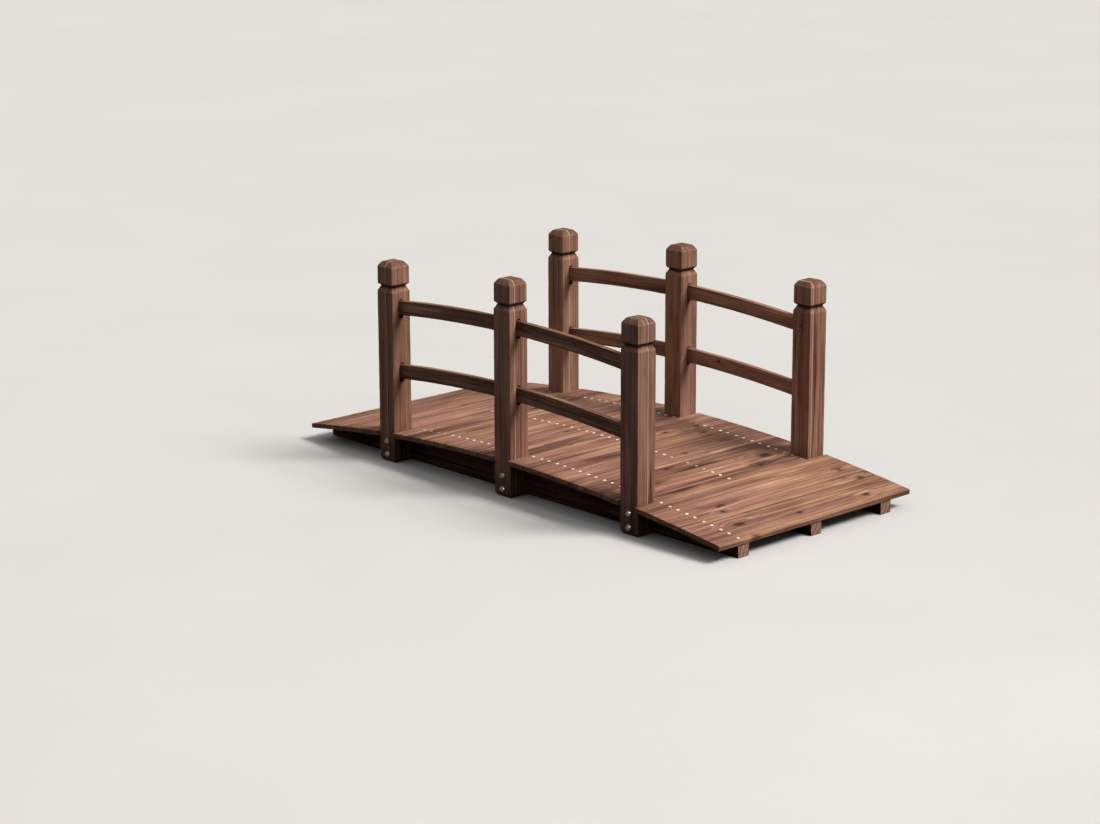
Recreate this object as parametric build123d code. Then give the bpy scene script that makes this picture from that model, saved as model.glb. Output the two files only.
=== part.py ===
from build123d import *
import math
import os

# Arched wooden garden footbridge with a railing on each side, in stained softwood.
# Three beams, flat below and arched above, carry the cross boards of the deck.
# Six square posts stand against the outer beams and house the arched rails.
# The origin is on the ground under the middle of the deck. +X runs along the bridge,
# +Y runs across it to the far railing and +Z is up. All sizes are in millimetres.

# Deck boards, laid across the beams from end to end. The length follows the arch.
deck_length = 1498.5
board_count = 27
board_gap = 1.0
board_thickness = 12.0
board_length = 670.0
board_edge_chamfer = 1.0
nosing_radius = 3.0
board_seat_clearance = 0.05

# Beams under the deck
beam_arch_radius = 5088.0
beam_crown_depth = 87.0
beam_thickness = 36.0
beam_end_setback = 2.0
beam_edge_chamfer = 1.5

# Posts
post_size = 58.0
end_post_height = 524.0
middle_post_rise = 24.0
boards_per_bay = 8
deck_overhang = 9.0
notch_clearance = 0.5
foot_chamfer = 5.0
foot_chamfer_height = 9.0

# Post heads, from the top down: pyramid bevel, cap block, V-groove
cap_bevel_inset = 9.0
cap_bevel_height = 12.0
cap_block_height = 44.5
groove_depth = 7.0
groove_upper_height = 6.5
groove_lower_height = 13.5

# Rails and the round-ended mortises that house their ends
rail_thickness = 13.0
rail_height = 37.0
rail_radius = 4000.0
top_rail_drop = 101.0
rail_spacing = 167.0
rail_edge_chamfer = 1.0
mortise_depth = 22.0
mortise_drop = 2.5
mortise_end_clearance = 1.0
mortise_side_clearance = 0.3

# Sizes that follow from the ones above
board_pitch = deck_length / board_count
board_width = board_pitch - board_gap
board_seat_radius = beam_arch_radius + board_seat_clearance
arch_centre_z = beam_crown_depth - beam_arch_radius
post_pitch = boards_per_bay * board_pitch
post_outer_y = board_length / 2 - deck_overhang
post_centre_y = post_outer_y - post_size / 2
post_inner_y = post_outer_y - post_size
outer_beam_y = post_inner_y - beam_thickness / 2
middle_post_height = end_post_height + middle_post_rise
top_rail_crown = middle_post_height - top_rail_drop
mid_rail_crown = top_rail_crown - rail_spacing
mortise_radius = rail_thickness / 2 + mortise_side_clearance
tenon_length = mortise_depth - mortise_end_clearance

left, middle, right = -1, 0, 1
near, far = -1, 1


def arc_height(radius, centre_z, x):
    return centre_z + math.sqrt(radius**2 - x**2)


def arc_edge(radius, centre_z, x_from, x_to):
    points = []
    for x in (x_from, (x_from + x_to) / 2, x_to):
        points.append((x, 0, arc_height(radius, centre_z, x)))
    return ThreePointArc(*points)


# Deck

def board_angle(index):
    steps = index - (board_count - 1) / 2
    return steps * board_pitch / beam_arch_radius


def board_profile(nosing):
    # Cross-section with its underside on the local X axis. The upper long edges are
    # eased, and an end board has a rounded nosing on its outer edge.
    profile = Rectangle(board_width, board_thickness, align=(Align.CENTER, Align.MIN))
    upper = profile.vertices().group_by(Axis.Y)[-1].sort_by(Axis.X)
    if nosing == left:
        profile = fillet(upper[0], nosing_radius)
        upper = profile.vertices().group_by(Axis.Y)[-1].sort_by(Axis.X)
        return chamfer(upper[-1], board_edge_chamfer)
    if nosing == right:
        profile = fillet(upper[-1], nosing_radius)
        upper = profile.vertices().group_by(Axis.Y)[-1].sort_by(Axis.X)
        return chamfer(upper[0], board_edge_chamfer)
    return chamfer(upper, board_edge_chamfer)


def post_notch(column, side):
    # Space that a post takes out of the deck, open to the side of the bridge
    inner_y = post_inner_y - notch_clearance
    width = post_size + 2 * notch_clearance
    depth = board_length - inner_y
    block = Box(width, depth, end_post_height, align=(Align.CENTER, Align.MIN, Align.MIN))
    if side == near:
        block = Rot(0, 0, 180) * block
    return Pos(column * post_pitch, side * inner_y, 0) * block


def deck_board(index):
    nosing = middle
    if index == 0:
        nosing = left
    if index == board_count - 1:
        nosing = right
    board = extrude(Plane.XZ * board_profile(nosing), board_length / 2, both=True)
    angle = board_angle(index)
    board = Pos(0, 0, arch_centre_z) * Rot(0, math.degrees(angle), 0) * Pos(0, 0, board_seat_radius) * board
    centre_x = board_seat_radius * math.sin(angle)
    reach = (board_width + post_size) / 2 + notch_clearance
    for column in (left, middle, right):
        if abs(centre_x - column * post_pitch) < reach:
            for side in (near, far):
                board -= post_notch(column, side)
    return board


# Beams

def beam_half_length():
    angle = board_angle(board_count - 1)
    deck_end_x = board_seat_radius * math.sin(angle) + board_width / 2 * math.cos(angle)
    return deck_end_x - beam_end_setback


def beam(centre_y):
    end_x = beam_half_length()
    end_z = arc_height(beam_arch_radius, arch_centre_z, end_x)
    top = arc_edge(beam_arch_radius, arch_centre_z, -end_x, end_x)
    rest = Polyline((end_x, 0, end_z), (end_x, 0, 0), (-end_x, 0, 0), (-end_x, 0, end_z))
    blank = extrude(make_face([top, rest]), beam_thickness / 2, both=True)
    lower_corners = blank.edges().filter_by(Axis.Y).group_by(Axis.Z)[0]
    return Pos(0, centre_y, 0) * chamfer(lower_corners, beam_edge_chamfer)


# Posts

def post_blank(height):
    # The same outline seen from the front and from the side gives the mitred
    # bevel, groove and foot of a square post.
    half = post_size / 2
    cap_top = height - cap_bevel_height
    cap_bottom = cap_top - cap_block_height
    groove_root = cap_bottom - groove_upper_height
    groove_bottom = groove_root - groove_lower_height
    outline = [
        (half - foot_chamfer, 0),
        (half, foot_chamfer_height),
        (half, groove_bottom),
        (half - groove_depth, groove_root),
        (half, cap_bottom),
        (half, cap_top),
        (half - cap_bevel_inset, height),
    ]
    mirrored = [(-x, z) for x, z in reversed(outline)]
    face = make_face(Polyline(*outline, *mirrored, close=True))
    front = extrude(Plane.XZ * face, half, both=True)
    side = extrude(Plane.YZ * face, half, both=True)
    return front & side


def mortise(column, direction, crown_z):
    # Blind slot that a rail's end goes into. Its straight flanks are as tall as the
    # rail, with the rail's fall inside the post, so its round ends stay open. The rail
    # sits high in it, so that more of the slot shows below the rail than above.
    face_x = column * post_pitch + direction * post_size / 2
    end_x = face_x - direction * tenon_length
    centre_z = crown_z - rail_radius
    tops = [arc_height(rail_radius, centre_z, x) for x in (face_x, end_x)]
    undersides = [arc_height(rail_radius - rail_height, centre_z, x) for x in (face_x, end_x)]
    straight = max(tops) - min(undersides)
    slot_z = (max(tops) + min(undersides)) / 2 - mortise_drop
    plane = Plane(origin=(face_x, 0, slot_z), x_dir=(0, 0, 1), z_dir=(direction, 0, 0))
    slot = plane * SlotCenterToCenter(straight, 2 * mortise_radius)
    return extrude(slot, -mortise_depth)


def post(column, side):
    height = middle_post_height if column == middle else end_post_height
    body = Pos(column * post_pitch, 0, 0) * post_blank(height)
    for direction in (left, right):
        if column + direction in (left, middle, right):
            for crown_z in (top_rail_crown, mid_rail_crown):
                body -= mortise(column, direction, crown_z)
    return Pos(0, side * post_centre_y, 0) * body


# Rails

def rail(bay, side, crown_z):
    # A bay lies between the middle post and the post at its outer end.
    inner_x = bay * (post_size / 2 - tenon_length)
    outer_x = bay * (post_pitch - post_size / 2 + tenon_length)
    centre_z = crown_z - rail_radius
    underside_radius = rail_radius - rail_height
    top = arc_edge(rail_radius, centre_z, inner_x, outer_x)
    underside = arc_edge(underside_radius, centre_z, inner_x, outer_x)
    ends = []
    for x in (inner_x, outer_x):
        upper = (x, 0, arc_height(rail_radius, centre_z, x))
        lower = (x, 0, arc_height(underside_radius, centre_z, x))
        ends.append(Line(upper, lower))
    blank = extrude(make_face([top, underside, *ends]), rail_thickness / 2, both=True)
    arrises = blank.faces().filter_by(Axis.Y).edges().filter_by(GeomType.CIRCLE)
    return Pos(0, side * post_centre_y, 0) * chamfer(arrises, rail_edge_chamfer)


# Assembly

nodes = {}
for index in range(board_count):
    nodes[f"deck_board_{index + 1:02d}"] = deck_board(index)
for name, centre_y in (("near", -outer_beam_y), ("middle", 0), ("far", outer_beam_y)):
    nodes[f"{name}_beam"] = beam(centre_y)
for side_name, side in (("near", near), ("far", far)):
    for column_name, column in (("left", left), ("middle", middle), ("right", right)):
        nodes[f"{side_name}_{column_name}_post"] = post(column, side)
    for bay_name, bay in (("left", left), ("right", right)):
        for level_name, crown_z in (("top", top_rail_crown), ("mid", mid_rail_crown)):
            nodes[f"{side_name}_{bay_name}_{level_name}_rail"] = rail(bay, side, crown_z)

os.makedirs("parts", exist_ok=True)
for name, solid in nodes.items():
    solid.label = name
    export_step(solid, f"parts/{name}.step")
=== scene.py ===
import math
import random
import bmesh
import bpy
from mathutils import Matrix, Vector


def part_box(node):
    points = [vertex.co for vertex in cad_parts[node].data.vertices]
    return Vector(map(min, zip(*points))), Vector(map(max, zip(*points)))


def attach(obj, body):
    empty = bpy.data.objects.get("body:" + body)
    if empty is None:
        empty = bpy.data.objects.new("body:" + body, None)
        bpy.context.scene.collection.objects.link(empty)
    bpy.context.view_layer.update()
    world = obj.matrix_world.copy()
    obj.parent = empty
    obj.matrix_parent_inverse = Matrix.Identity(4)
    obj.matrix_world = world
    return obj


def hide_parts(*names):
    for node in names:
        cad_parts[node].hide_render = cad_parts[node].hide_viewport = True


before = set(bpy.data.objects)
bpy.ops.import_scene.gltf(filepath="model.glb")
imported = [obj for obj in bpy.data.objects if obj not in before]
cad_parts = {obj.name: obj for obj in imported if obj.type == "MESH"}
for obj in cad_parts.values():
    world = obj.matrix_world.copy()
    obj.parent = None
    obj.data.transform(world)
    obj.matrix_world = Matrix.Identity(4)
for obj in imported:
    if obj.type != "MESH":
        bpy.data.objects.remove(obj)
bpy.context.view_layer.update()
mm = 0.001
print("frame loaded with", len(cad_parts), "timbers")


def linear(hexColour):
    channels = [int(hexColour[i:i + 2], 16) / 255 for i in (1, 3, 5)]
    lit = [c / 12.92 if c <= 0.04045 else ((c + 0.055) / 1.055) ** 2.4 for c in channels]
    return (*lit, 1.0)


def add(tree, kind, inputs=None, stops=None, **settings):
    # adds one node: inputs are numbers or the sockets that feed it, stops fill a colour ramp
    node = tree.nodes.new("ShaderNode" + kind)
    for key, value in settings.items():
        setattr(node, key, value)
    for key, value in (inputs or {}).items():
        if isinstance(value, bpy.types.NodeSocket):
            tree.links.new(value, node.inputs[key])
        else:
            node.inputs[key].default_value = value
    if stops:
        ramp = node.color_ramp.elements
        while len(ramp) < len(stops):
            ramp.new(0.5)
        for element, (position, colour) in zip(ramp, stops):
            element.position = position
            element.color = linear(colour)
    return node


def between(ends, unit=1.0):
    # where a mask starts to change, and where it stops
    return {"From Min": ends[0] * unit, "From Max": ends[1] * unit}


def spread(size):
    # turns the real size of a pattern in mm, across and along the grain, into noise per metre
    across, along = 1 / (size["across"] * mm), 1 / (size["along"] * mm)
    return (across, across, along)


def newMaterial(name):
    material = bpy.data.materials.new(name)
    material.use_nodes = True
    material.node_tree.nodes.clear()
    return material, material.node_tree


def newObject(name, data):
    made = bpy.data.objects.new(name, data)
    bpy.context.scene.collection.objects.link(made)
    return made


# Wood finish. Sizes of the patterns are in mm, across the grain and along it.
fir = {
    "ringWidth": 6.5,
    "wander": {"across": 240, "along": 800, "reach": 16},
    "ripple": {"across": 30, "along": 200, "reach": 2.2},
    "streak": {"across": 9, "along": 420, "share": 0.65},
    "band": {"across": 38, "along": 520, "share": 0.5},
    "blotch": {"across": 70, "along": 150, "share": 0.35},
    "fibre": {"across": 3.5, "along": 260, "share": 0.65},  # real fibres are finer, drawn coarser to show
    "ringPatch": {"across": 90, "along": 500},
    "burn": {"across": 26, "along": 340},
    "tint": {"across": 60, "along": 380},
    "check": {"across": 18, "along": 460},
    "detail": {"streak": 3.0, "band": 2.0, "blotch": 3.0, "fibre": 4.0,
               "ringPatch": 1.0, "burn": 3.0, "tint": 2.0, "check": 2.0},
    "noiseRoughness": 0.55,
    # the stain from its darkest shade to its lightest, the late wood through a ring, and a knot from its
    # heart to its edge
    "colours": [(0.0, "#2C1B15"), (0.3, "#67463A"), (0.5, "#8F6A5A"), (0.7, "#B38770"), (1.0, "#E0BAA1")],
    "lateWood": [(0.0, "#6A6A6A"), (0.08, "#000000"), (0.2, "#303030"), (0.66, "#4A4A4A"),
                 (0.86, "#D0D0D0"), (0.96, "#FFFFFF"), (1.0, "#6A6A6A")],
    "knotColours": [(0.0, "#38231B"), (0.4, "#2A1A14"), (0.75, "#3A261D"), (1.0, "#4A3226")],
    "paints": {"scorch": "#3E2D29", "bleach": "#EAC3AA", "halo": "#553A2E", "crack": "#24150F",
               # the dark paint for the joints is dirt between boards, and painted shade on the rails beside
               # the posts
               "glue": "#D0A88F", "wear": "#C9A188", "jointDirtAndShade": "#1E120D", "footDampAndShade": "#150D0A",
               # the last paint is painted shade, in the posts' grooves and mortises
               "hollowShade": "#0E0705"},
    "warmthGlaze": "#F1EFCB", "mauveGlaze": "#ECDBE4", "ends": "#7C5A48", "endLines": "#503628",
    "grainAxis": (0, 1, 0),
    # how much each mark shows
    "ring": 0.14, "ringLeast": 0.4, "ringOnEnds": 0.45, "ringMiddle": 0.3, "ringShade": 0.08,
    "warmth": 0.3, "mauve": 0.5, "patch": 0.35, "sideShade": 0.0, "endShare": 0.75, "scorch": 0.45,
    "bleach": 0.45, "halo": 0.25, "knot": 0.85, "cracks": 0.3, "glue": 0.75, "scuff": (0.25, 0.8),
    "jointDirtAndShade": 0.8, "footDampAndShade": 0.0, "hollowShade": 0.9,
    # the stretch over which each mark fades: of a noise, or of a distance in mm or in a knot's radii
    "ringFade": (0.4, 0.6), "warmthFade": (0.42, 0.66), "mauveFade": (0.54, 0.36), "patchFade": (0.9, 1.9),
    "sideFade": (110, 330), "endFade": (0.4, 0.7), "scorchFade": (0.56, 0.74), "bleachFade": (0.4, 0.24),
    "haloFade": (0.8, 2.6), "knotFade": (0.45, 1.15), "crackFade": (0.002, 0.006), "glueFade": (0.8, 1.8),
    "scuffFade": (0.35, 0.6), "jointDirtAndShadeFade": (25.2, 27.2), "footDampAndShadeFade": (-10, 75), "hollowShadeFade": (0.45, 0.95),
    # how ragged the noises make the edges of some marks, and what keeps the knots at their size
    "patchRagged": 1.6, "jointDirtAndShadeRagged": 1.6, "footDampAndShadeRagged": 60, "knotRagged": {"fibre": 1.2, "streak": 1.4},
    "knotGrowth": 1.35,
    # how far round a knot the grain parts and how much, and how both are drawn out along the grain
    "partFade": (0.5, 3.6), "part": 0.85, "partStretch": (1, 0.4, 0), "knotStretch": (1, 0.6, 0),
    # what changes past a post's glue line
    "otherLog": (0.027, 0.019, 0.9), "otherTone": -0.05,
    "gloss": 0.55, "glossVary": 0.08, "glossFade": (0.2, 0.8), "specular": 0.04,
    "relief": 0.25 * mm, "reliefStrength": 0.4,
}


def readMarks(tree):
    # what is written on the vertices of each timber, and where they are on the bridge
    wood = {}
    for key in ("grain", "knotOne", "knotTwo", "patch"):
        wood[key] = add(tree, "Attribute", attribute_name=key).outputs["Vector"]
    for key in ("tone", "ply", "across", "wear", "hollowShade"):
        wood[key] = add(tree, "Attribute", attribute_name=key).outputs["Fac"]
    onBridge = add(tree, "SeparateXYZ", {0: add(tree, "TexCoord").outputs["Object"]})
    wood["aside"] = onBridge.outputs["Y"]
    wood["height"] = onBridge.outputs["Z"]
    return wood


def glueUp(tree, look, wood):
    # a glued-up post changes its grain and its shade past the glue line
    second = add(tree, "Math", {0: wood["ply"], 1: 0.0}, operation="GREATER_THAN").outputs[0]
    otherLog = add(tree, "VectorMath", {0: second, 1: look["otherLog"]}, operation="MULTIPLY").outputs[0]
    wood["secondPly"] = second
    wood["grain"] = add(tree, "VectorMath", {0: wood["grain"], 1: otherLog}, operation="ADD").outputs[0]
    wood["tone"] = add(tree, "Math", {0: second, 1: look["otherTone"], 2: wood["tone"]},
                       operation="MULTIPLY_ADD").outputs[0]


def bendGrain(tree, look, wood):
    # the log's own wander, and the way the grain parts round each knot
    place = wood["grain"]
    for key in ("wander", "ripple"):
        reach = look[key]["reach"] * mm
        at = add(tree, "VectorMath", {0: wood["grain"], 1: spread(look[key])}, operation="MULTIPLY")
        noise = add(tree, "TexNoise", {"Vector": at.outputs[0], "Scale": 1.0, "Detail": 1.0})
        shift = add(tree, "VectorMath", {0: noise.outputs["Color"], 1: (reach, reach, 0),
                                         2: (-reach / 2, -reach / 2, 0)}, operation="MULTIPLY_ADD")
        place = add(tree, "VectorMath", {0: place, 1: shift.outputs[0]}, operation="ADD").outputs[0]
    nearest = None
    for key in ("knotOne", "knotTwo"):
        knot = add(tree, "SeparateXYZ", {0: wood[key]})
        oval = add(tree, "VectorMath", {0: wood[key], 1: look["partStretch"]}, operation="MULTIPLY")
        away = add(tree, "VectorMath", {0: oval.outputs[0]}, operation="LENGTH")
        near = add(tree, "MapRange", {"Value": away.outputs["Value"], **between(look["partFade"]),
                                      "To Min": look["part"], "To Max": 0.0}, interpolation_type="SMOOTHSTEP")
        side = add(tree, "Math", {0: knot.outputs["X"], 1: knot.outputs["Z"]}, operation="MULTIPLY")
        push = add(tree, "Math", {0: side.outputs[0], 1: near.outputs[0]}, operation="MULTIPLY")
        place = add(tree, "VectorMath", {0: place, 1: push.outputs[0]}, operation="SUBTRACT").outputs[0]
        heart = add(tree, "VectorMath", {0: wood[key], 1: look["knotStretch"]}, operation="MULTIPLY")
        distance = add(tree, "VectorMath", {0: heart.outputs[0]}, operation="LENGTH").outputs["Value"]
        if nearest:
            distance = add(tree, "Math", {0: distance, 1: nearest}, operation="MINIMUM").outputs[0]
        nearest = distance
    wood["place"] = place
    wood["knotDistance"] = nearest


def growRings(tree, look, wood):
    # growth rings, each with its own shade and a darker line of late wood
    flat = add(tree, "VectorMath", {0: wood["place"], 1: (1, 1, 0)}, operation="MULTIPLY")
    radius = add(tree, "VectorMath", {0: flat.outputs[0]}, operation="LENGTH")
    rings = add(tree, "Math", {0: radius.outputs["Value"], 1: look["ringWidth"] * mm}, operation="DIVIDE")
    number = add(tree, "Math", {0: rings.outputs[0]}, operation="FLOOR")
    part = add(tree, "Math", {0: rings.outputs[0]}, operation="FRACT")
    shade = add(tree, "TexWhiteNoise", {"W": number.outputs[0]}, noise_dimensions="1D")
    wood["ringShade"] = shade.outputs["Value"]
    wood["late"] = add(tree, "ValToRGB", {0: part.outputs[0]}, stops=look["lateWood"]).outputs["Color"]


def drawNoises(tree, look, wood):
    # streaks, bands and fibres along the grain, and the noises that say where patches and cracks go
    for key, detail in look["detail"].items():
        at = add(tree, "VectorMath", {0: wood["place"], 1: spread(look[key])}, operation="MULTIPLY")
        noise = add(tree, "TexNoise", {"Vector": at.outputs[0], "Scale": 1.0, "Detail": detail,
                                       "Roughness": look["noiseRoughness"]})
        wood[key] = noise.outputs["Fac"]


def fadeRings(tree, look, wood):
    # the rings fade over parts of a timber, on its sawn ends and on the bevels that cut across the
    # grain, and show twice as much past a glue line
    facing = add(tree, "NewGeometry").outputs["Normal"]
    along = add(tree, "VectorMath", {0: facing, 1: look["grainAxis"]}, operation="DOT_PRODUCT")
    square = add(tree, "Math", {0: along.outputs["Value"]}, operation="ABSOLUTE").outputs[0]
    endGrain = add(tree, "MapRange", {"Value": square, **between(look["endFade"])}).outputs[0]
    faint = add(tree, "MapRange", {"Value": endGrain, "To Min": 1.0, "To Max": look["ringOnEnds"]})
    strong = add(tree, "MapRange", {"Value": wood["ringPatch"], **between(look["ringFade"]),
                                    "To Min": look["ring"] * look["ringLeast"], "To Max": look["ring"]})
    share = add(tree, "Math", {0: strong.outputs[0], 1: faint.outputs[0]}, operation="MULTIPLY").outputs[0]
    share = add(tree, "Math", {0: share, 1: wood["secondPly"], 2: share}, operation="MULTIPLY_ADD")
    lines = add(tree, "Math", {0: wood["late"], 1: look["ringMiddle"]}, operation="SUBTRACT")
    lines = add(tree, "Math", {0: lines.outputs[0], 1: share.outputs[0]}, operation="MULTIPLY")
    wood["endGrain"] = endGrain
    wood["ringLines"] = lines.outputs[0]


def shadeWood(tree, look, wood):
    # how light the wood is: its own tone and pattern, a dark or light patch, and the deck's sides
    shade = add(tree, "Math", {0: wood["tone"], 1: wood["ringLines"]}, operation="SUBTRACT").outputs[0]
    shares = {key: look[key]["share"] for key in ("streak", "band", "blotch", "fibre")}
    for key, share in {**shares, "ringShade": look["ringShade"]}.items():
        centred = add(tree, "Math", {0: wood[key], 1: 0.5}, operation="SUBTRACT").outputs[0]
        shade = add(tree, "Math", {0: centred, 1: share, 2: shade}, operation="MULTIPLY_ADD").outputs[0]
    patch = add(tree, "SeparateXYZ", {0: wood["patch"]})
    spot = add(tree, "CombineXYZ", {"X": patch.outputs["X"], "Y": patch.outputs["Y"]})
    spot = add(tree, "VectorMath", {0: spot.outputs[0]}, operation="LENGTH")
    spot = add(tree, "Math", {0: wood["streak"], 1: look["patchRagged"], 2: spot.outputs["Value"]},
               operation="MULTIPLY_ADD")
    inSpot = add(tree, "MapRange", {"Value": spot.outputs[0], **between(look["patchFade"]),
                                    "To Min": look["patch"], "To Max": 0.0}, interpolation_type="SMOOTHSTEP")
    inSpot = add(tree, "Math", {0: inSpot.outputs[0], 1: patch.outputs["Z"]}, operation="MULTIPLY")
    shade = add(tree, "Math", {0: shade, 1: inSpot.outputs[0]}, operation="SUBTRACT").outputs[0]
    offMiddle = add(tree, "Math", {0: wood["aside"]}, operation="ABSOLUTE").outputs[0]
    side = add(tree, "MapRange", {"Value": offMiddle, **between(look["sideFade"], mm),
                                  "To Max": look["sideShade"]})
    wood["shade"] = add(tree, "Math", {0: shade, 1: side.outputs[0]}, operation="SUBTRACT").outputs[0]


def woodMarks(tree, look, wood, paints):
    # what the wood brings itself, as masks with the paint of each: end grain, scorched and bleached
    # patches, knots with a halo, cracks and the glue line
    ends = add(tree, "Math", {0: wood["endGrain"], 1: look["endShare"]}, operation="MULTIPLY")
    endPaint = add(tree, "Mix", {"Factor": wood["late"], "A": linear(look["ends"]),
                                 "B": linear(look["endLines"])}, data_type="RGBA").outputs["Result"]
    scorched = add(tree, "MapRange", {"Value": wood["burn"], **between(look["scorchFade"]),
                                      "To Max": look["scorch"]})
    bleached = add(tree, "MapRange", {"Value": wood["burn"], **between(look["bleachFade"]),
                                      "To Max": look["bleach"]})
    edge = wood["knotDistance"]
    for key, ragged in look["knotRagged"].items():
        edge = add(tree, "Math", {0: wood[key], 1: ragged, 2: edge}, operation="MULTIPLY_ADD").outputs[0]
    edge = add(tree, "Math", {0: edge, 1: look["knotGrowth"]}, operation="SUBTRACT").outputs[0]
    halo = add(tree, "MapRange", {"Value": edge, **between(look["haloFade"]), "To Min": look["halo"],
                                  "To Max": 0.0}, interpolation_type="SMOOTHSTEP")
    knot = add(tree, "MapRange", {"Value": edge, **between(look["knotFade"]), "To Min": look["knot"],
                                  "To Max": 0.0})
    knotPaint = add(tree, "ValToRGB", {0: edge}, stops=look["knotColours"]).outputs["Color"]
    offLine = add(tree, "Math", {0: wood["check"], 1: 0.5}, operation="SUBTRACT").outputs[0]
    offLine = add(tree, "Math", {0: offLine}, operation="ABSOLUTE").outputs[0]
    crack = add(tree, "MapRange", {"Value": offLine, **between(look["crackFade"]),
                                   "To Min": look["cracks"], "To Max": 0.0})
    wood["crack"] = crack.outputs[0]
    fromGlue = add(tree, "Math", {0: wood["ply"]}, operation="ABSOLUTE").outputs[0]
    glueLine = add(tree, "MapRange", {"Value": fromGlue, **between(look["glueFade"], mm),
                                      "To Min": look["glue"], "To Max": 0.0})
    return [(ends, endPaint), (scorched, paints["scorch"]), (bleached, paints["bleach"]),
            (halo, paints["halo"]), (knot, knotPaint), (crack, paints["crack"]), (glueLine, paints["glue"])]


def useMarksAndPaintedShade(tree, look, wood, paints):
    # what use and weather bring, and painted shade: scuffed arrises, dirt between the boards, painted shade
    # on the rails beside the posts, damp and painted shade at the posts' feet, and painted shade in the
    # posts' hollows
    scuff = add(tree, "MapRange", {"Value": wood["streak"], **between(look["scuffFade"]),
                                   "To Min": look["scuff"][0], "To Max": look["scuff"][1]})
    worn = add(tree, "Math", {0: scuff.outputs[0], 1: wood["wear"]}, operation="MULTIPLY")
    fromMiddle = add(tree, "Math", {0: wood["across"]}, operation="ABSOLUTE").outputs[0]
    fromMiddle = add(tree, "Math", {0: wood["fibre"], 1: look["jointDirtAndShadeRagged"] * mm, 2: fromMiddle},
                     operation="MULTIPLY_ADD").outputs[0]
    jointDirtAndShadeFade = [end + look["jointDirtAndShadeRagged"] / 2 for end in look["jointDirtAndShadeFade"]]
    jointDirtAndShade = add(tree, "MapRange", {"Value": fromMiddle, **between(jointDirtAndShadeFade, mm), "To Max": look["jointDirtAndShade"]},
                interpolation_type="SMOOTHSTEP")
    height = add(tree, "Math", {0: wood["streak"], 1: -look["footDampAndShadeRagged"] * mm, 2: wood["height"]},
                 operation="MULTIPLY_ADD").outputs[0]
    footDampAndShade = add(tree, "MapRange", {"Value": height, **between(look["footDampAndShadeFade"], mm),
                                  "To Min": look["footDampAndShade"], "To Max": 0.0}, interpolation_type="SMOOTHSTEP")
    hollowShade = add(tree, "MapRange", {"Value": wood["hollowShade"], **between(look["hollowShadeFade"]),
                                   "To Max": look["hollowShade"]})
    return [(worn, paints["wear"]), (jointDirtAndShade, paints["jointDirtAndShade"]), (footDampAndShade, paints["footDampAndShade"]),
            (hollowShade, paints["hollowShade"])]


def stainedFir(name, look):
    # Fir, sawn, scorched and stained: broad soft bands along the grain, thin darker lines of late
    # wood, scorched and bleached patches, a few knots like dark smudges, and a dull satin finish.
    material, tree = newMaterial(name)
    wood = readMarks(tree)
    for step in (glueUp, bendGrain, growRings, drawNoises, fadeRings, shadeWood):
        step(tree, look, wood)
    colour = add(tree, "ValToRGB", {0: wood["shade"]}, stops=look["colours"]).outputs["Color"]
    for key in ("warmth", "mauve"):
        mask = add(tree, "MapRange", {"Value": wood["tint"], **between(look[key + "Fade"]),
                                      "To Max": look[key]})
        glazed = add(tree, "Mix", {"Factor": mask.outputs[0], "A": colour, "B": linear(look[key + "Glaze"])},
                     data_type="RGBA", blend_type="MULTIPLY")
        colour = glazed.outputs["Result"]
    paints = {key: linear(paint) for key, paint in look["paints"].items()}
    for mask, paint in woodMarks(tree, look, wood, paints) + useMarksAndPaintedShade(tree, look, wood, paints):
        mixed = add(tree, "Mix", {"Factor": mask.outputs[0], "A": colour, "B": paint}, data_type="RGBA")
        colour = mixed.outputs["Result"]
    relief = add(tree, "Math", {0: wood["crack"], 1: -1.0, 2: wood["fibre"]}, operation="MULTIPLY_ADD")
    bump = add(tree, "Bump", {"Strength": look["reliefStrength"], "Distance": look["relief"],
                              "Height": relief.outputs[0]})
    roughness = add(tree, "MapRange", {"Value": wood["shade"], **between(look["glossFade"]),
                                       "To Min": look["gloss"] - look["glossVary"],
                                       "To Max": look["gloss"] + look["glossVary"]})
    surface = add(tree, "BsdfPrincipled", {"Base Color": colour, "Roughness": roughness.outputs[0],
                                           "Normal": bump.outputs[0], "Specular IOR Level": look["specular"]})
    add(tree, "OutputMaterial", {"Surface": surface.outputs[0]})
    return material


# the deck is darker towards its sides, and its boards differ in hue
deckLook = {**fir, "sideShade": 0.08, "warmth": 0.52, "mauve": 0.8}
# the rails are darker towards their ends beside the posts: painted shade
railLook = {**fir, "grainAxis": (1, 0, 0), "ends": "#7A5646", "gloss": 0.62, "ring": 0.15, "mauve": 0.3,
            "jointDirtAndShade": 0.5, "jointDirtAndShadeFade": (150, 205), "streak": {"across": 8, "along": 420, "share": 0.5},
            "band": {"across": 30, "along": 330, "share": 0.4}}
# the beams' ends keep a light colour of their own over the dark tone that is painted shade on their sides
beamLook = {**fir, "grainAxis": (1, 0, 0), "ends": "#AE8471", "endLines": "#4A3026", "endShare": 0.9,
            "gloss": 0.65, "ring": 0.12, "cracks": 0.4, "ringWidth": 13}
# the posts darken towards their feet: damp, and painted shade under the deck
postLook = {**fir, "grainAxis": (0, 0, 1), "ends": "#664A3D", "endLines": "#503A2F", "endShare": 0.85,
            "gloss": 0.6, "ring": 0.16, "scorch": 0.3, "bleach": 0.2, "warmth": 0.1, "mauve": 0.4,
            "footDampAndShade": 0.6, "streak": {"across": 7, "along": 420, "share": 0.4},
            "band": {"across": 36, "along": 260, "share": 0.25},
            "fibre": {"across": 3, "along": 220, "share": 0.55}}

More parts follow.
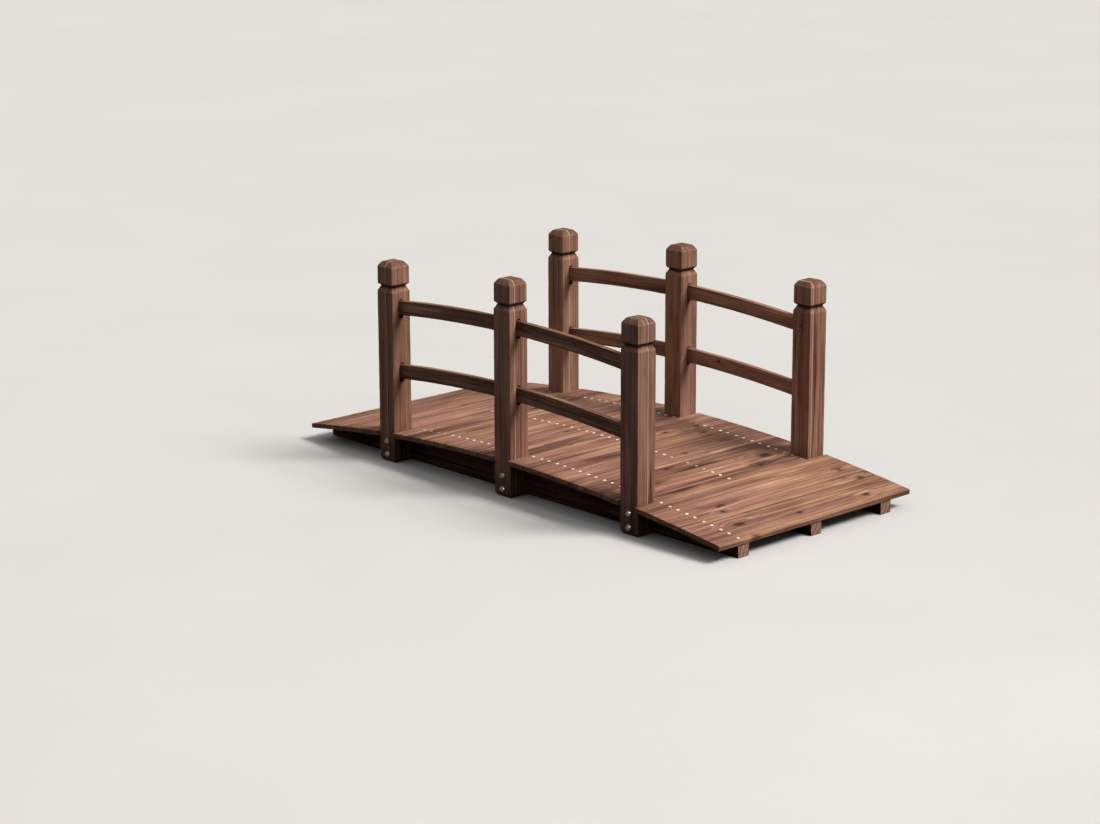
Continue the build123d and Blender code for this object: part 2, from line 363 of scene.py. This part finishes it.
# Timbers: each keeps its CAD shape, with rounded arrises and its own cut of the log. The pith is how far
# the heart of the log may be to either side, and its least and greatest depth, in mm. The tone is the
# middle shade and how far it varies. The knots are the chances of a first and a second one, with the
# least and greatest radius in mm.
timber = {
    "deck_board": {"arris": 0.35 * mm, "slot": "deck", "pith": (45, 20, 90), "tone": (0.54, 0.06),
                   "knots": (0.4, 0.15), "knotSize": (4, 7),
                   "finish": stainedFir("stainedFirDeck", deckLook)},
    "rail": {"arris": 0.3 * mm, "slot": "rails", "pith": (60, 10, 60), "tone": (0.46, 0.02),
             "knots": (0.25, 0.1), "knotSize": (2, 4), "finish": stainedFir("stainedFirRail", railLook)},
    # the beams' tone is nearly black: painted shade, where they lie under the deck
    "beam": {"arris": 1.2 * mm, "slot": "beams", "pith": (15, 45, 100), "tone": (0.07, 0.02),
             "knots": (1.0, 1.0), "knotSize": (4, 8), "finish": stainedFir("stainedFirBeam", beamLook)},
    "post": {"arris": 1.1 * mm, "slot": "posts", "pith": (40, 5, 45), "tone": (0.47, 0.02),
             "knots": (0.0, 0.0), "knotSize": (2.5, 4.5), "finish": stainedFir("stainedFirPost", postLook)},
}
layout = {
    "logLength": 40.0,      # in metres, long enough that the timbers hardly share a stretch of it
    "farAway": 50.0,        # in metres, where a knot or a glue line goes on a timber that has none
    "knotSpread": 0.4,      # how far from its middle a timber's own knots lie, as a share of its size
    "noPatch": (0, 0, 10, 10, 0),   # a patch of no strength
    "jointReach": (0.95, 1.01),     # the dirt in the joints shows more on some boards than on others
    "openReach": 0.9,               # and not at all on the open sides of the end boards
    "openSides": {"deck_board_01": -1, "deck_board_27": 1},
}
rounding = {
    "mergeWithin": 0.005 * mm,
    "flatUnder": 0.3,       # faces that turn less than this many degrees become one
    "from": 25,             # edges that turn more than this many degrees are rounded
    "smoothUnder": 38,      # and those that turn less than this are shaded smooth
    "corner": 1.4 * mm,     # the corners at the boards' ends are eased
    "cornerSegments": 4,    # with facets that turn too little to be rounded again
    "cornerRise": 0.3,      # on edges at least this steep, which takes in the chamfers
    "endReach": 0.1 * mm,   # and this near to the end
    "top": 2.5 * mm,        # the tops of the post heads are worn a little
    "topReach": 1.0 * mm,   # on the edges this near to the top
    "head": 2.2 * mm,       # and the heads are rounded more than the rest, and rubbed a little
    "headHeight": 57 * mm,  # from the top down into the groove
    "headWear": 0.2,
    "mouth": 0.4 * mm,      # the mortises' mouths are nearly sharp, and painted dark inside as shade
    "mortiseHalf": 8 * mm,  # half the width of the strip that they are in
    "mortiseDirt": 0.2 * mm,
}

# What shows, by timber: knots with their place across and along it and their radius, in mm
seenKnots = {
    "deck_board_14": [(25, -116, 5)],
    "deck_board_16": [(7, 239, 8)],
    "deck_board_21": [(2, 199, 15)],
    "deck_board_24": [(22, -154, 10), (11, 279, 8)],
    "deck_board_25": [(-5, -175, 6), (20, 286, 8)],
    "deck_board_26": [(14, -198, 12)],
    "deck_board_27": [(-9, 214, 8), (-16, -16, 6)],
    "far_right_post": [(-2, 150, 3)],
    "far_right_mid_rail": [(12, -80, 4)],
}
# where the glued-up posts show their glue line: the axis that it lies across, X (0) or Y (1), and its
# place in mm from the post's middle
seenGlue = {"near_left_post": (0, 3), "near_middle_post": (1, -12), "near_right_post": (1, 4),
            "far_left_post": (1, -4), "far_right_post": (1, -19)}
# darker (or, below nought, lighter) patches: place across and along the board, half width and half
# length, in mm, and strength
seenPatches = {
    "deck_board_02": (-18, 110, 8, 60, 0.4), "deck_board_03": (-14, 90, 8, 60, -0.6),
    "deck_board_09": (15, -160, 16, 70, 0.7), "deck_board_11": (-22, 205, 8, 50, -0.5),
    "deck_board_16": (20, 190, 11, 60, 0.6), "deck_board_17": (-10, -150, 14, 80, 0.5),
    "deck_board_18": (21, 205, 8, 50, 0.5), "deck_board_19": (22, 130, 6, 60, -0.8),
    "deck_board_20": (17, 10, 9, 100, 0.8), "deck_board_21": (-5, -180, 20, 60, 0.6),
    "deck_board_22": (11, -160, 14, 70, 0.8), "deck_board_23": (10, 165, 12, 70, -0.7),
    "deck_board_26": (19, 184, 6, 70, -0.5), "deck_board_27": (26, -212, 14, 22, 0.9),
}
# timbers that are lighter or, below nought, darker than the rest of their kind; on the near rails the darker
# tone is painted shade, and on the far posts and rails the lighter tone is painted bounce light
seenTones = {
    "near_left_post": 0.02, "near_middle_post": 0.04,
    "far_left_post": 0.08, "far_middle_post": 0.05, "far_right_post": 0.04,
    "near_left_top_rail": -0.03, "near_left_mid_rail": -0.05,
    "near_right_top_rail": -0.11, "near_right_mid_rail": -0.05,
    "far_left_top_rail": 0.06, "far_left_mid_rail": 0.06,
    "far_right_top_rail": 0.06, "far_right_mid_rail": 0.06,
    "deck_board_01": -0.07, "deck_board_02": -0.07, "deck_board_03": -0.02, "deck_board_07": -0.03,
    "deck_board_08": -0.07, "deck_board_09": -0.03, "deck_board_10": -0.01, "deck_board_11": 0.02,
    "deck_board_12": 0.02, "deck_board_13": -0.02, "deck_board_14": -0.06, "deck_board_15": -0.04,
    "deck_board_16": -0.02, "deck_board_17": -0.04, "deck_board_18": -0.06, "deck_board_20": -0.07,
    "deck_board_21": -0.05, "deck_board_22": -0.08, "deck_board_23": 0.04, "deck_board_24": 0.01,
    "deck_board_25": 0.02, "deck_board_27": 0.01,
}


def kindOf(name):
    return next(kind for kind in timber if kind in name)


def slopeOf(bm, kind, centre):
    # how far a board or rail that follows the arch is turned about Y
    if kind == "deck_board":
        # the largest face that looks upwards is the board's top
        top = max((f for f in bm.faces if f.normal.z > 0.9), key=lambda f: f.calc_area())
        return -math.atan2(top.normal.x, top.normal.z)
    if kind == "rail":
        rise = sum((v.co.x - centre.x) * (v.co.z - centre.z) for v in bm.verts)
        return math.atan(rise / sum((v.co.x - centre.x) ** 2 for v in bm.verts))
    return 0.0


def timberFrame(bm, name, kind):
    # a timber's middle, and the turn that lays its width, its thickness and its grain along X, Y and Z
    low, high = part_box(name)
    centre = (low + high) / 2
    level = Matrix.Rotation(slopeOf(bm, kind, centre), 3, "Y")
    across, thick, along = {
        "deck_board": ((1, 0, 0), (0, 0, 1), (0, 1, 0)),
        "rail": ((0, 0, 1), (0, 1, 0), (1, 0, 0)),
        "beam": ((0, 0, 1), (0, 1, 0), (1, 0, 0)),
        "post": ((1, 0, 0), (0, 1, 0), (0, 0, 1)),
    }[kind]
    return centre, Matrix((across, thick, along)) @ level


def cutFromLog(kind, dice):
    # where a timber lies in the log: off its heart, and along it
    sideways, least, greatest = timber[kind]["pith"]
    aside = dice.uniform(-sideways, sideways)
    deep = dice.choice((-1, 1)) * dice.uniform(least, greatest)
    inLog = Vector((aside, deep, 0)) * mm
    inLog.z = dice.uniform(0, layout["logLength"])
    return inLog


def placeKnots(name, kind, size, dice):
    # each knot's place across and along, its radius, and whether it is on a post's other side
    knots = [(side * mm, along * mm, radius * mm, 0.0) for side, along, radius in seenKnots.get(name, [])]
    reach = layout["knotSpread"]
    for chance in timber[kind]["knots"][len(knots):]:
        side, along = (dice.uniform(-reach, reach) * abs(size[axis]) for axis in (0, 2))
        radius = dice.uniform(*timber[kind]["knotSize"]) * mm
        turned = dice.choice((0.0, 1.0)) if kind == "post" else 0.0
        if dice.random() > chance:
            along += layout["farAway"]
        knots.append((side, along, radius, turned))
    return knots


def layGrain(bm, name, kind, dice):
    # writes where each vertex lies in the log, and how far it is from the timber's knots and marks
    centre, turn = timberFrame(bm, name, kind)
    inLog = cutFromLog(kind, dice)
    low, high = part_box(name)
    knots = placeKnots(name, kind, turn @ (high - low), dice)
    middle, vary = timber[kind]["tone"]
    ownTone = dice.uniform(middle - vary, middle + vary) + seenTones.get(name, 0.0)
    jointReach = dice.uniform(*layout["jointReach"])
    openSide = layout["openSides"].get(name, 0)
    glueAxis, glueAt = seenGlue.get(name, (1, layout["farAway"] / mm))
    patchSide, patchAlong, halfWidth, halfLength, strength = seenPatches.get(name, layout["noPatch"])
    vectors, numbers = bm.verts.layers.float_vector, bm.verts.layers.float
    grain, knotOne, knotTwo, patch = (vectors.new(key) for key in ("grain", "knotOne", "knotTwo", "patch"))
    tone, ply, across = (numbers.new(key) for key in ("tone", "ply", "across"))
    for vert in bm.verts:
        local = turn @ (vert.co - centre)
        vert[grain] = local + inLog
        vert[tone] = ownTone
        vert[ply] = local[glueAxis] - glueAt * mm
        vert[patch] = ((local.x / mm - patchSide) / halfWidth, (local.z / mm - patchAlong) / halfLength,
                       strength)
        # dirt in the joints between boards, and painted shade on the rails beside the posts
        if kind == "deck_board":
            vert[across] = local.x * (layout["openReach"] if openSide * local.x > 0 else jointReach)
        if kind == "rail":
            vert[across] = local.z
        for layer, (side, along, radius, turned) in zip((knotOne, knotTwo), knots):
            fromSide = local.y if turned else local.x
            vert[layer] = ((fromSide - side) / radius, (local.z - along) / radius, radius)


def paintHollowShade(bm):
    # painted shade in a post's groove, where its faces meet inward
    hollowShade = bm.verts.layers.float.new("hollowShade")
    for edge in bm.edges:
        if not edge.is_convex and edge.calc_face_angle(0) > math.radians(rounding["from"]):
            for vert in edge.verts:
                vert[hollowShade] = 1.0


def roundArrises(bm, size, worn=1.0, chosen=lambda edge: True, segments=3):
    # rounds the chosen outer edges, and marks the middle of each rounding as worn
    wear = bm.verts.layers.float.get("wear") or bm.verts.layers.float.new("wear")
    limit = math.radians(rounding["from"])
    edges = [e for e in bm.edges if e.is_convex and e.calc_face_angle(0) > limit and chosen(e)]
    made = bmesh.ops.bevel(bm, geom=edges, offset=size, offset_type="OFFSET", segments=segments,
                           profile=0.5, affect="EDGES", clamp_overlap=True, material=-1)
    rounded = set(made["faces"])
    for vert in made["verts"]:
        if all(face in rounded for face in vert.link_faces):
            vert[wear] = worn


def roundCorners(bm, name):
    # rounds the edges that run up a board's ends at their corners, over the chamfers too
    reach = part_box(name)[1].y - rounding["endReach"]

    def atCorner(edge):
        low, high = edge.verts
        rise = abs((high.co - low.co).normalized().z)
        return rise > rounding["cornerRise"] and min(abs(low.co.y), abs(high.co.y)) > reach

    roundArrises(bm, rounding["corner"], 0.0, atCorner, rounding["cornerSegments"])


def shapePost(bm, name):
    # rounds a post's head, then the mouths of its mortises, then the rest, and paints shade inside the
    # mortises
    low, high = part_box(name)
    centre = (low + high) / 2

    def atMouth(edge):
        return all(abs(v.co.y - centre.y) < rounding["mortiseHalf"] for v in edge.verts)

    def above(height):
        return lambda edge: min(v.co.z for v in edge.verts) > height

    roundArrises(bm, rounding["top"], 0.0, above(high.z - rounding["topReach"]))
    roundArrises(bm, rounding["head"], rounding["headWear"], above(high.z - rounding["headHeight"]))
    roundArrises(bm, rounding["mouth"], 0.0, atMouth)
    roundArrises(bm, timber["post"]["arris"], 1.0, lambda edge: not atMouth(edge))
    hollowShade = bm.verts.layers.float["hollowShade"]
    for vert in bm.verts:
        depth = (high.x - low.x) / 2 - abs(vert.co.x - centre.x)
        if abs(vert.co.y - centre.y) < rounding["mortiseHalf"]:
            vert[hollowShade] = 1.0 if depth > rounding["mortiseDirt"] else 0.0


def smoothFaces(bm):
    for face in bm.faces:
        face.smooth = True
    for edge in bm.edges:
        edge.smooth = edge.calc_face_angle(0) < math.radians(rounding["smoothUnder"])


def finishPiece(bm, name, material):
    # makes a mesh a piece of the bridge, which is all one body
    mesh = bpy.data.meshes.new(name)
    bm.to_mesh(mesh)
    bm.free()
    mesh.materials.append(material)
    piece = newObject(name, mesh)
    normals = piece.modifiers.new("evenNormals", "WEIGHTED_NORMAL")
    normals.keep_sharp = True
    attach(piece, "root")
    return piece


for name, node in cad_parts.items():
    kind = kindOf(name)
    dice = random.Random("fir " + name)
    bm = bmesh.new()
    bm.from_mesh(node.data)
    bmesh.ops.remove_doubles(bm, verts=bm.verts, dist=rounding["mergeWithin"])
    bmesh.ops.dissolve_limit(bm, angle_limit=math.radians(rounding["flatUnder"]), verts=bm.verts,
                             edges=bm.edges)
    layGrain(bm, name, kind, dice)
    if kind == "post":
        paintHollowShade(bm)
        shapePost(bm, name)
    else:
        if kind == "deck_board":
            roundCorners(bm, name)
        roundArrises(bm, timber[kind]["arris"])
    smoothFaces(bm)
    piece = finishPiece(bm, "sawn_" + name, timber[kind]["finish"])
    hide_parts(name)
print("timbers laid out and rounded")


# Fixings
zinc = {
    "stain": "#5B3B27", "spotSize": 3.0 * mm, "spotDetail": 4.0, "spotRoughness": 0.65,
    "spotFade": (0.5, 0.72), "dullFade": (0.35, 0.7), "dullMore": 0.25,
    "relief": 0.1 * mm, "reliefStrength": 0.2,
    "screws": {"colour": "#FFF6EA", "metal": 0.05, "stained": 0.1, "gloss": 0.4},
    "bolts": {"colour": "#A99C90", "metal": 0.36, "stained": 0.55, "gloss": 0.2},
}


def zincPlatedSteel(name, look):
    # Steel, zinc plated: a dull silver that mirrors the light round it, with brown spots where it stains
    material, tree = newMaterial(name)
    at = add(tree, "TexCoord").outputs["Object"]
    spots = add(tree, "TexNoise", {"Vector": at, "Scale": 1 / zinc["spotSize"], "Detail": zinc["spotDetail"],
                                   "Roughness": zinc["spotRoughness"]}).outputs["Fac"]
    mask = add(tree, "MapRange", {"Value": spots, **between(zinc["spotFade"]), "To Max": look["stained"]})
    # the screws' tarnish mark is real tarnish, and painted shade in the stretches where they catch no light
    tarnishAndShade = add(tree, "Attribute", attribute_name="tarnishAndShade").outputs["Fac"]
    mask = add(tree, "Math", {0: mask.outputs[0], 1: tarnishAndShade}, operation="MAXIMUM")
    tint = add(tree, "Mix", {"Factor": mask.outputs[0], "A": linear(look["colour"]),
                             "B": linear(zinc["stain"])}, data_type="RGBA").outputs["Result"]
    dull = add(tree, "MapRange", {"Value": spots, **between(zinc["dullFade"]),
                                  "To Min": look["gloss"], "To Max": look["gloss"] + zinc["dullMore"]})
    bump = add(tree, "Bump", {"Strength": zinc["reliefStrength"], "Distance": zinc["relief"],
                              "Height": spots})
    surface = add(tree, "BsdfPrincipled", {"Base Color": tint, "Metallic": look["metal"],
                                           "Roughness": dull.outputs[0], "Normal": bump.outputs[0]})
    add(tree, "OutputMaterial", {"Surface": surface.outputs[0]})
    return material


def copyInto(target, source, places, tarnishedAndShaded=lambda place: 0.0):
    # repeats a small shape in one mesh, each copy with its own tarnish and painted shade, and frees the shape
    mesh = bpy.data.meshes.new("master")
    source.to_mesh(mesh)
    source.free()
    tarnishAndShade = target.verts.layers.float.get("tarnishAndShade") or target.verts.layers.float.new("tarnishAndShade")
    for place in places:
        known = set(target.verts)
        target.from_mesh(mesh)
        fresh = [v for v in target.verts if v not in known]
        shade = tarnishedAndShaded(place)
        for vert in fresh:
            vert[tarnishAndShade] = shade
        bmesh.ops.transform(target, matrix=place, verts=fresh)
    bpy.data.meshes.remove(mesh)


def uprightAt(place, normal, turn):
    # stands a shape's Z axis along a surface's normal, turned about it
    lean = normal.to_track_quat("Z", "Y").to_matrix().to_4x4()
    return Matrix.Translation(place) @ lean @ Matrix.Rotation(turn, 4, "Z")


screw = {
    "radius": 4.0 * mm, "rimSides": 24, "crown": 0.35 * mm, "skirt": 0.6 * mm,
    "recess": 2.1 * mm, "recessSides": 12, "armInner": 0.78 * mm, "depth": 1.3 * mm, "taper": 0.6,
    "rows": (-259 * mm, 0.0, 259 * mm), "fromMiddle": 14.874 * mm, "lift": 0.15 * mm,
    "endBoards": 475 * mm,  # from here outwards none show over the middle and far beams
    # the most darkening of any screw, the most tarnish of the rest, and the stretches of a row whose
    # screws are darkened more as painted shade: the row, from x to x in metres, and the least darkening there
    "mostShade": 0.9, "usual": 0.3, "sameRow": 1.0 * mm,
    "shadedStretches": [(-259 * mm, -0.75, -0.46, 0.85), (-259 * mm, -0.46, -0.28, 0.4), (0.0, -0.48, -0.26, 0.3),
               (0.0, 0.24, 0.38, 0.3), (259 * mm, -0.75, -0.34, 0.3), (259 * mm, -0.01, 0.12, 0.3),
               (259 * mm, 0.4, 0.75, 0.3)],
}


def vertsOf(made):
    return [item for item in made["geom"] if isinstance(item, bmesh.types.BMVert)]


def screwHead():
    # countersunk head with a cross recess
    bm = bmesh.new()
    rim = bmesh.ops.create_circle(bm, segments=screw["rimSides"], radius=screw["radius"])["verts"]
    cross = bmesh.ops.create_circle(bm, segments=screw["recessSides"], radius=screw["recess"])["verts"]
    halfSide = math.pi / screw["recessSides"]
    bmesh.ops.rotate(bm, verts=cross, matrix=Matrix.Rotation(halfSide, 3, "Z"))
    bmesh.ops.translate(bm, verts=cross, vec=(0, 0, screw["crown"]))
    for vert in cross:
        # the four corners between the arms are drawn in
        if abs(abs(vert.co.x) - abs(vert.co.y)) < 0.1 * screw["recess"]:
            vert.co.xy *= screw["armInner"] / screw["recess"]
    rimEdges = list({e for v in rim for e in v.link_edges})
    crossEdges = list({e for v in cross for e in v.link_edges})
    bmesh.ops.bridge_loops(bm, edges=rimEdges + crossEdges)
    skirt = vertsOf(bmesh.ops.extrude_edge_only(bm, edges=rimEdges))
    bmesh.ops.translate(bm, verts=skirt, vec=(0, 0, -screw["skirt"]))
    walls = vertsOf(bmesh.ops.extrude_edge_only(bm, edges=crossEdges))
    bmesh.ops.translate(bm, verts=walls, vec=(0, 0, -screw["depth"]))
    bmesh.ops.scale(bm, verts=walls, vec=(screw["taper"], screw["taper"], 1))
    bmesh.ops.holes_fill(bm, edges=bm.edges)
    bmesh.ops.recalc_face_normals(bm, faces=bm.faces)
    return bm


def screwTarnishAndShade(place):
    # the screws are tarnished unevenly at random, and darkened more as painted shade in the stretches where
    # they hardly show
    at = place.translation
    for row, low, high, least in screw["shadedStretches"]:
        if low < at.x < high and abs(at.y - row) < screw["sameRow"]:
            return screwDice.uniform(least, screw["mostShade"])
    return screw["usual"] * screwDice.random() ** 2


screwPlaces = []
screwDice = random.Random("screws")
for name, node in sorted(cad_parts.items()):
    if kindOf(name) != "deck_board":
        continue
    bm = bmesh.new()
    bm.from_mesh(node.data)
    centre, turn = timberFrame(bm, name, "deck_board")
    top = max((turn @ (v.co - centre)).y for v in bm.verts)
    bm.free()
    back = turn.transposed()
    rows = screw["rows"] if abs(centre.x) < screw["endBoards"] else screw["rows"][:1]
    for row in rows:
        for side in (-1, 1):
            place = centre + back @ Vector((side * screw["fromMiddle"], top + screw["lift"], 0))
            place.y = row
            screwPlaces.append(uprightAt(place, back @ Vector((0, 1, 0)), screwDice.uniform(0, math.pi)))
bm = bmesh.new()
copyInto(bm, screwHead(), screwPlaces, screwTarnishAndShade)
finishPiece(bm, "deckScrews", zincPlatedSteel("zincPlatedScrews", zinc["screws"]))
print("deck screws:", len(screwPlaces))

bolt = {
    "radius": 8.0 * mm, "rise": 8.0 * mm, "lip": 1.4 * mm, "domeSteps": 7, "sides": 28,
    "underLip": 0.3 * mm, "underIn": 0.4 * mm, "sunk": 0.4 * mm, "heights": (54.0 * mm, 19.5 * mm),
    "washer": 9.0 * mm, "washerThickness": 1.6 * mm, "washerSides": 32,
    "nut": 7.5 * mm, "nutHeight": 6.5 * mm, "chamfer": 0.8 * mm,
    "thread": 4.0 * mm, "threadOut": 2.5 * mm, "threadSides": 16,
}


def spun(outline, steps):
    # spins an outline of (radius, height) about Z into a closed solid
    bm = bmesh.new()
    verts = [bm.verts.new((radius, 0, height)) for radius, height in outline]
    edges = [bm.edges.new(pair) for pair in zip(verts, verts[1:])]
    bmesh.ops.spin(bm, geom=verts + edges, cent=(0, 0, 0), axis=(0, 0, 1), angle=math.tau, steps=steps,
                   use_merge=True, use_duplicate=False)
    bmesh.ops.remove_doubles(bm, verts=bm.verts, dist=0.01 * mm)
    bmesh.ops.recalc_face_normals(bm, faces=bm.faces)
    return bm


def domeHead():
    # mushroom head: an arc from the pole to the lip, then back under the head
    rise, radius = bolt["rise"] - bolt["lip"], bolt["radius"]
    sphere = (radius ** 2 + rise ** 2) / (2 * rise)
    reach = math.asin(radius / sphere)
    arc = []
    for step in range(bolt["domeSteps"] + 1):
        angle = reach * step / bolt["domeSteps"]
        arc.append((sphere * math.sin(angle), bolt["rise"] - sphere * (1 - math.cos(angle))))
    under = [(radius, bolt["underLip"]), (radius - bolt["underIn"], -bolt["sunk"]), (0, -bolt["sunk"])]
    return spun(arc + under, bolt["sides"])


def nutAndWasher():
    # washer, hexagon nut and the bolt's end, on the beam's inner face
    washer, thread, chamfer = bolt["washer"], bolt["thread"], bolt["chamfer"]
    face = bolt["washerThickness"]
    bm = spun([(0, 0), (washer, 0), (washer, face), (thread, face), (0, face)], bolt["washerSides"])
    nut = bmesh.ops.create_circle(bm, segments=6, radius=bolt["nut"], cap_ends=True,
                                  matrix=Matrix.Translation((0, 0, face)))["verts"]
    base = next(f for f in nut[0].link_faces if all(v in nut for v in f.verts))
    top = vertsOf(bmesh.ops.extrude_face_region(bm, geom=[base]))
    bmesh.ops.translate(bm, verts=top, vec=(0, 0, bolt["nutHeight"]))
    rim = {e for v in top for e in v.link_edges if all(w in top for w in e.verts)}
    bmesh.ops.bevel(bm, geom=list(rim), offset=chamfer, segments=2, profile=0.5, affect="EDGES", material=-1)
    end = face + bolt["nutHeight"] + bolt["threadOut"]
    stub = [(0, 0), (thread, 0), (thread, end - chamfer), (thread - chamfer, end), (0, end)]
    copyInto(bm, spun(stub, bolt["threadSides"]), [Matrix.Identity(4)])
    bmesh.ops.recalc_face_normals(bm, faces=bm.faces)
    return bm


headPlaces, nutPlaces = [], []
boltDice = random.Random("bolts")
for name in sorted(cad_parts):
    if kindOf(name) != "post":
        continue
    low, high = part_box(name)
    beamLow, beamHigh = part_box(name.split("_")[0] + "_beam")
    outward = -1 if name.startswith("near") else 1
    outerFace = low.y if outward < 0 else high.y
    innerFace = beamHigh.y if outward < 0 else beamLow.y
    middle = (low.x + high.x) / 2
    for height in bolt["heights"]:
        turn = boltDice.uniform(0, math.tau)
        headPlaces.append(uprightAt(Vector((middle, outerFace, height)), Vector((0, outward, 0)), turn))
        nutPlaces.append(uprightAt(Vector((middle, innerFace, height)), Vector((0, -outward, 0)), turn))
dulledZinc = zincPlatedSteel("dulledZincBolts", zinc["bolts"])
for pieceName, shape, places in (("boltHeads", domeHead, headPlaces), ("beamNuts", nutAndWasher, nutPlaces)):
    bm = bmesh.new()
    copyInto(bm, shape(), places)
    smoothFaces(bm)
    finishPiece(bm, pieceName, dulledZinc)
print("bolts and nuts:", len(headPlaces))


# Stage: pale floor, a soft dome of light that is brighter low down behind the bridge, one wide key
# light, and a small one that only the steel mirrors. Lengths are in metres.
stage = {
    "floor": 40.0, "drop": 0.5 * mm, "floorPaint": [(0.3, "#C4C3C2"), (0.7, "#C7C6C5")],
    "mottleScale": 1.5, "floorRoughness": 0.85,
    "domeFade": (0.12, 0.7), "below": 0.02, "dome": 0.51,
    "glow": 0.15, "glowHeight": 12, "glowFade": (0.72, 0.93), "backdrop": "#E2DED9",
    "key": (0.531, 0.301, 0.792), "keyPower": 3.8, "keyWidth": 27, "keyColour": "#FFFAF4",
    "glint": (2.1, -0.5, 1.5), "glintPower": 100, "glintSize": 0.4,
}
# the view of the photograph, in degrees, metres and mm of lens
view = {"azimuth": 47.136, "elevation": 14.836, "roll": -0.193,
        "place": (4.9746, -4.7829, 1.9850), "lens": 92.18}
azimuth, elevation, roll = (math.radians(view[key]) for key in ("azimuth", "elevation", "roll"))


def paleFloor():
    # painted board: an even pale grey, with a faint mottle that keeps it from looking flat
    material, tree = newMaterial("palePaintedFloor")
    at = add(tree, "TexCoord").outputs["Object"]
    noise = {"Vector": at, "Scale": stage["mottleScale"], "Detail": 3.0}
    mottle = add(tree, "TexNoise", noise).outputs["Fac"]
    colour = add(tree, "ValToRGB", {0: mottle}, stops=stage["floorPaint"]).outputs["Color"]
    surface = add(tree, "BsdfPrincipled", {"Base Color": colour, "Roughness": stage["floorRoughness"]})
    add(tree, "OutputMaterial", {"Surface": surface.outputs[0]})
    return material


def layFloor():
    bm = bmesh.new()
    bmesh.ops.create_grid(bm, x_segments=1, y_segments=1, size=stage["floor"],
                          matrix=Matrix.Translation((0, 0, -stage["drop"])))
    mesh = bpy.data.meshes.new("floor")
    bm.to_mesh(mesh)
    bm.free()
    mesh.materials.append(paleFloor())
    floor = newObject("floor", mesh)
    # it lends the timber no light, so that the shaded sides stay dark, but the steel mirrors it
    floor.visible_diffuse = False


def softDome():
    world = bpy.data.worlds.new("softDome")
    world.use_nodes = True
    bpy.context.scene.world = world
    tree = world.node_tree
    tree.nodes.clear()
    outward = add(tree, "TexCoord").outputs["Generated"]
    upward = add(tree, "SeparateXYZ", {0: outward}).outputs["Z"]
    above = add(tree, "MapRange", {"Value": upward, **between(stage["domeFade"]),
                                   "To Min": stage["below"], "To Max": stage["dome"]})
    low = math.radians(stage["glowHeight"])
    behind = (-math.sin(azimuth) * math.cos(low), math.cos(azimuth) * math.cos(low), math.sin(low))
    facing = add(tree, "VectorMath", {0: outward, 1: behind}, operation="DOT_PRODUCT").outputs["Value"]
    glow = add(tree, "MapRange", {"Value": facing, **between(stage["glowFade"]), "To Max": stage["glow"]},
               interpolation_type="SMOOTHSTEP")
    strength = add(tree, "Math", {0: above.outputs[0], 1: glow.outputs[0]}, operation="ADD")
    light = add(tree, "Background", {"Color": linear("#FFFFFF"), "Strength": strength.outputs[0]})
    # from low down the floor's own pale grey shows behind it, and lights nothing
    backdrop = add(tree, "Background", {"Color": linear(stage["backdrop"]), "Strength": 1.0})
    seen = add(tree, "LightPath").outputs["Is Camera Ray"]
    shown = add(tree, "MixShader", {0: seen, 1: light.outputs[0], 2: backdrop.outputs[0]})
    add(tree, "OutputWorld", {"Surface": shown.outputs[0]})


def keyLight():
    sun = bpy.data.lights.new("key", "SUN")
    sun.energy = stage["keyPower"]
    sun.angle = math.radians(stage["keyWidth"])
    sun.color = linear(stage["keyColour"])[:3]
    lamp = newObject("key", sun)
    lamp.rotation_mode = "QUATERNION"
    lamp.rotation_quaternion = Vector(stage["key"]).to_track_quat("Z", "Y")


def glintLight():
    glint = bpy.data.lights.new("glint", "AREA")
    glint.energy = stage["glintPower"]
    glint.size = stage["glintSize"]
    lamp = newObject("glint", glint)
    place = Vector(stage["glint"])
    lamp.matrix_world = Matrix.Translation(place) @ place.to_track_quat("Z", "Y").to_matrix().to_4x4()
    lamp.visible_diffuse = False
    lamp.visible_camera = False


def aimCamera():
    camera = bpy.data.cameras.new("camera")
    camera.lens = view["lens"]
    camera.clip_end = 200.0
    cameraObject = newObject("camera", camera)
    level = math.cos(elevation)
    towards = Vector((math.sin(azimuth) * level, -math.cos(azimuth) * level, math.sin(elevation)))
    right = Vector((math.cos(azimuth), math.sin(azimuth), 0))
    up = towards.cross(right)
    turnedRight = right * math.cos(roll) + up * math.sin(roll)
    turnedUp = up * math.cos(roll) - right * math.sin(roll)
    turned = Matrix((turnedRight, turnedUp, towards)).transposed().to_4x4()
    cameraObject.matrix_world = Matrix.Translation(view["place"]) @ turned
    bpy.context.scene.camera = cameraObject


layFloor()
softDome()
keyLight()
glintLight()
aimCamera()
bpy.context.scene.view_settings.view_transform = "Standard"
print("stage, lights and camera set")
